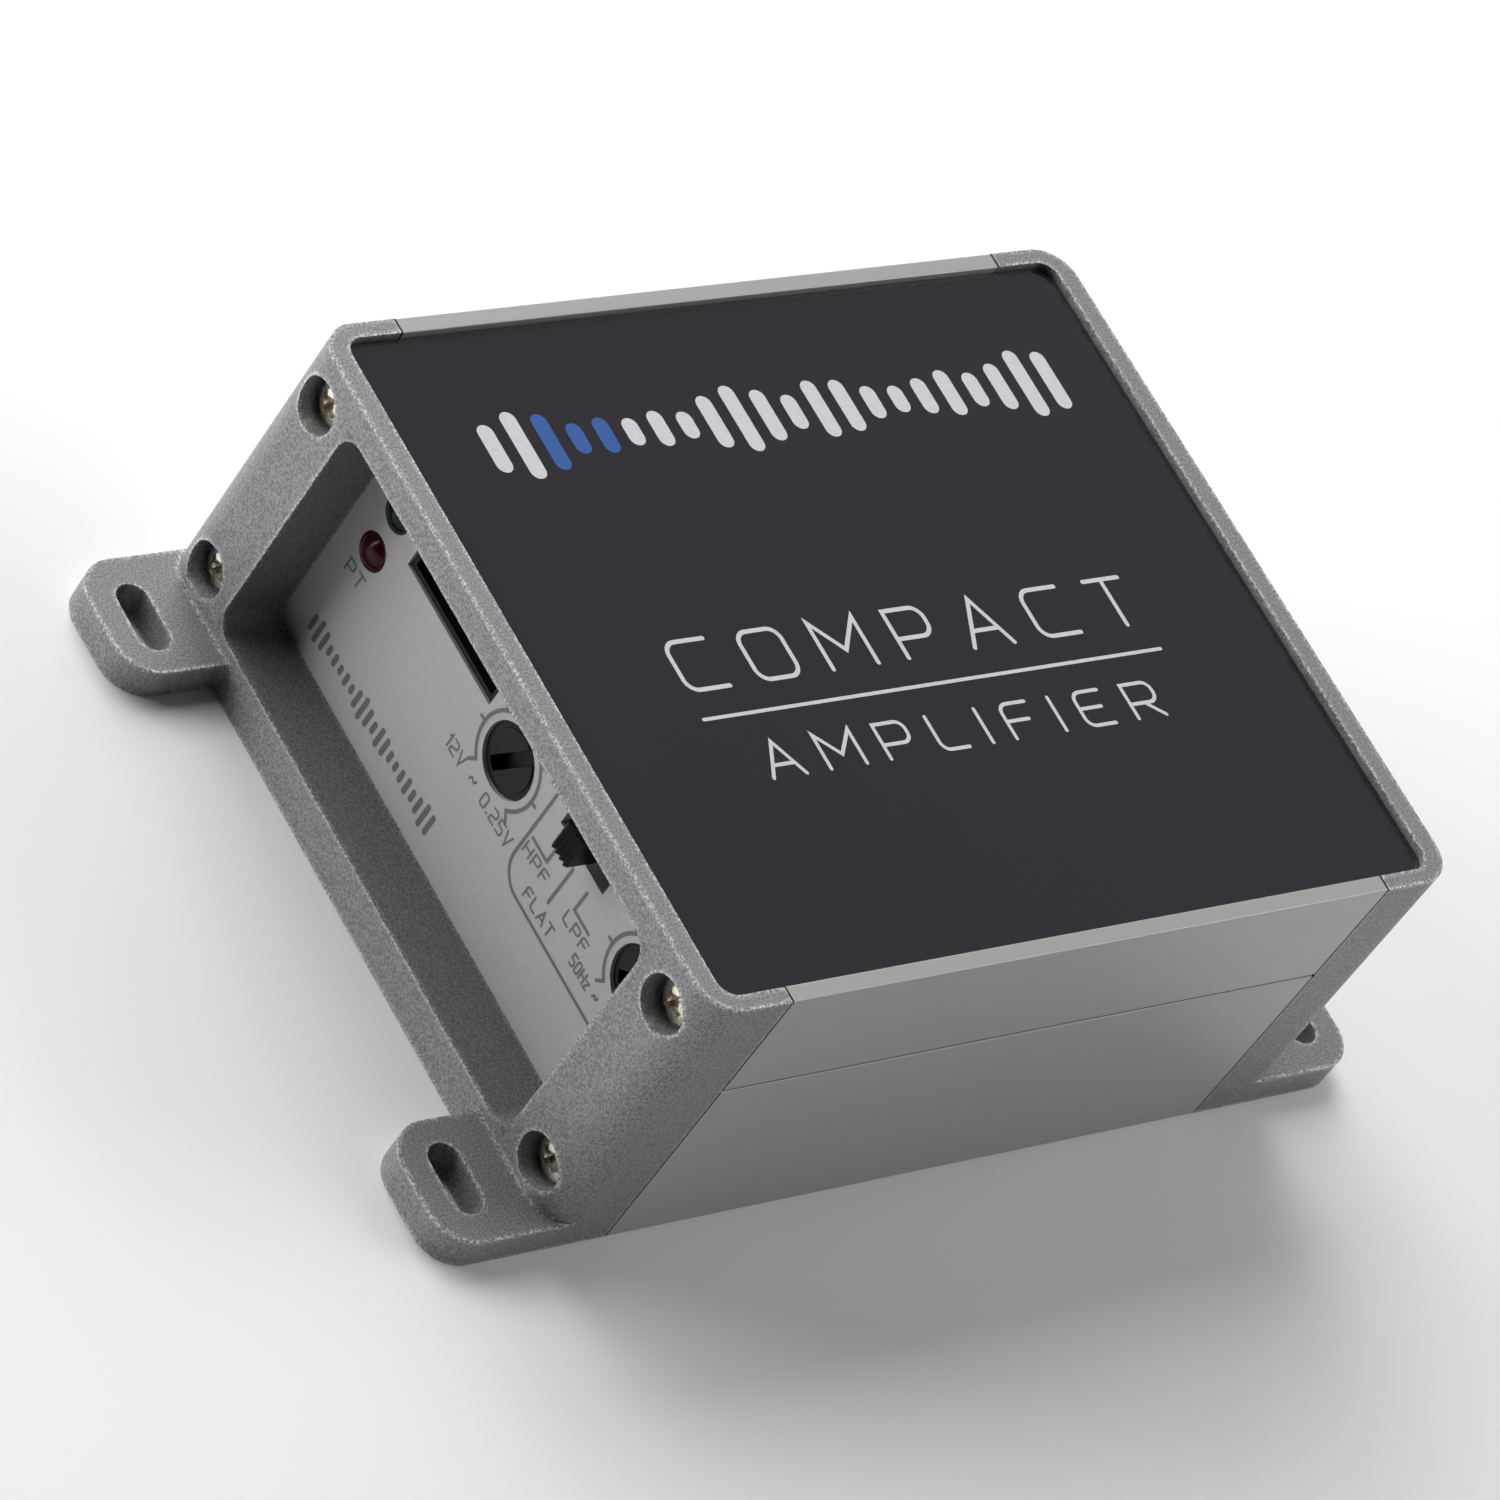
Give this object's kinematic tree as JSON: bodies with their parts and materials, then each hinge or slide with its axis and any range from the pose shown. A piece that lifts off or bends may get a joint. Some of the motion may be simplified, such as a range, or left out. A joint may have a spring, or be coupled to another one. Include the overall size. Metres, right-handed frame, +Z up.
{
  "type": "car amplifier",
  "caption": "Compact car amplifier: extruded case between cast end frames with slotted feet, glossy top plate, recessed dials, mode switch and lamps, and rear wire terminals.",
  "frame": {"origin": "centre of the case's base, on the surface it is fastened to", "axes": "+X across the case to the right as the controls are faced, +Y along the case from the controls to the terminals, +Z up from the base to the top plate"},
  "size_m": [0.1, 0.1472, 0.047],
  "materials": {
    "cast_silver": "fine metallic texture coat",
    "anodised_silver": "satin anodised",
    "gloss_charcoal": "high gloss with pale print",
    "adhesive": "matte",
    "panel_grey": "satin with grey print",
    "nickel": "bright nickel plate",
    "black_plastic": "satin moulded",
    "green_lens": "clear dark green",
    "red_lens": "clear dark red",
    "tinned": "tinned",
    "board": "solder mask",
    "ferrite": "sintered",
    "copper_wire": "enamelled copper",
    "capacitor_sleeve": "shrink sleeve",
    "film_capacitor": "moulded",
    "heat_aluminium": "mill finish",
    "pad": "soft",
    "fuse_amber": "translucent"
  },
  "bodies": {
    "chassis": {"front_end_frame": "cast_silver", "rear_end_frame": "cast_silver", "upper_shell": "anodised_silver", "lower_shell": "anodised_silver", "top_plate": "gloss_charcoal", "plate_adhesive": "adhesive", "control_panel": "panel_grey", "terminal_panel": "panel_grey", "front_frame_screws": "nickel", "rear_frame_screws": "nickel", "gain_pot_body": "black_plastic", "crossover_pot_body": "black_plastic", "mode_switch_body": "black_plastic", "power_led": "green_lens", "protect_led": "red_lens", "led_holder": "black_plastic", "input_socket": "black_plastic", "input_socket_pins": "tinned", "control_board": "board", "board_link_header": "black_plastic", "main_board": "board", "toroid_core": "ferrite", "toroid_winding": "copper_wire", "output_inductors": "ferrite", "supply_capacitors": "capacitor_sleeve", "filter_capacitors": "film_capacitor", "amplifier_chip": "black_plastic", "chip_heat_block": "heat_aluminium", "power_transistors": "black_plastic", "transistor_pad": "pad", "transistor_clamp_bar": "heat_aluminium", "clamp_bar_screws": "tinned", "power_terminal_block": "black_plastic", "power_wire_clamps": "tinned", "power_clamp_screws": "nickel", "speaker_terminal_block": "black_plastic", "speaker_wire_clamps": "tinned", "speaker_clamp_screws": "nickel", "fuse_holder": "black_plastic", "fuse_contacts": "tinned"},
    "gain_shaft": {"gain_pot_shaft": "black_plastic"},
    "crossover_shaft": {"crossover_pot_shaft": "black_plastic"},
    "mode_slider": {"mode_switch_slider": "black_plastic"},
    "fuse": {"blade_fuse": "fuse_amber"}
  },
  "joints": [
    {"name": "gain_turn", "type": "hinge", "parent": "chassis", "child": "gain_shaft", "pos_m": [0.0014, -0.047, 0.0286], "axis": [0, 1, 0], "range_deg": [-173, 107]},
    {"name": "crossover_turn", "type": "hinge", "parent": "chassis", "child": "crossover_shaft", "pos_m": [0.0338, -0.047, 0.0286], "axis": [0, 1, 0], "range_deg": [-190, 90]},
    {"name": "mode_slide", "type": "slide", "parent": "chassis", "child": "mode_slider", "axis": [1, 0, 0], "range_m": [-0.0034, 0.0034]},
    {"name": "fuse_pull", "type": "slide", "parent": "chassis", "child": "fuse", "axis": [0, 1, 0], "range_m": [0, 0.008]}
  ]
}
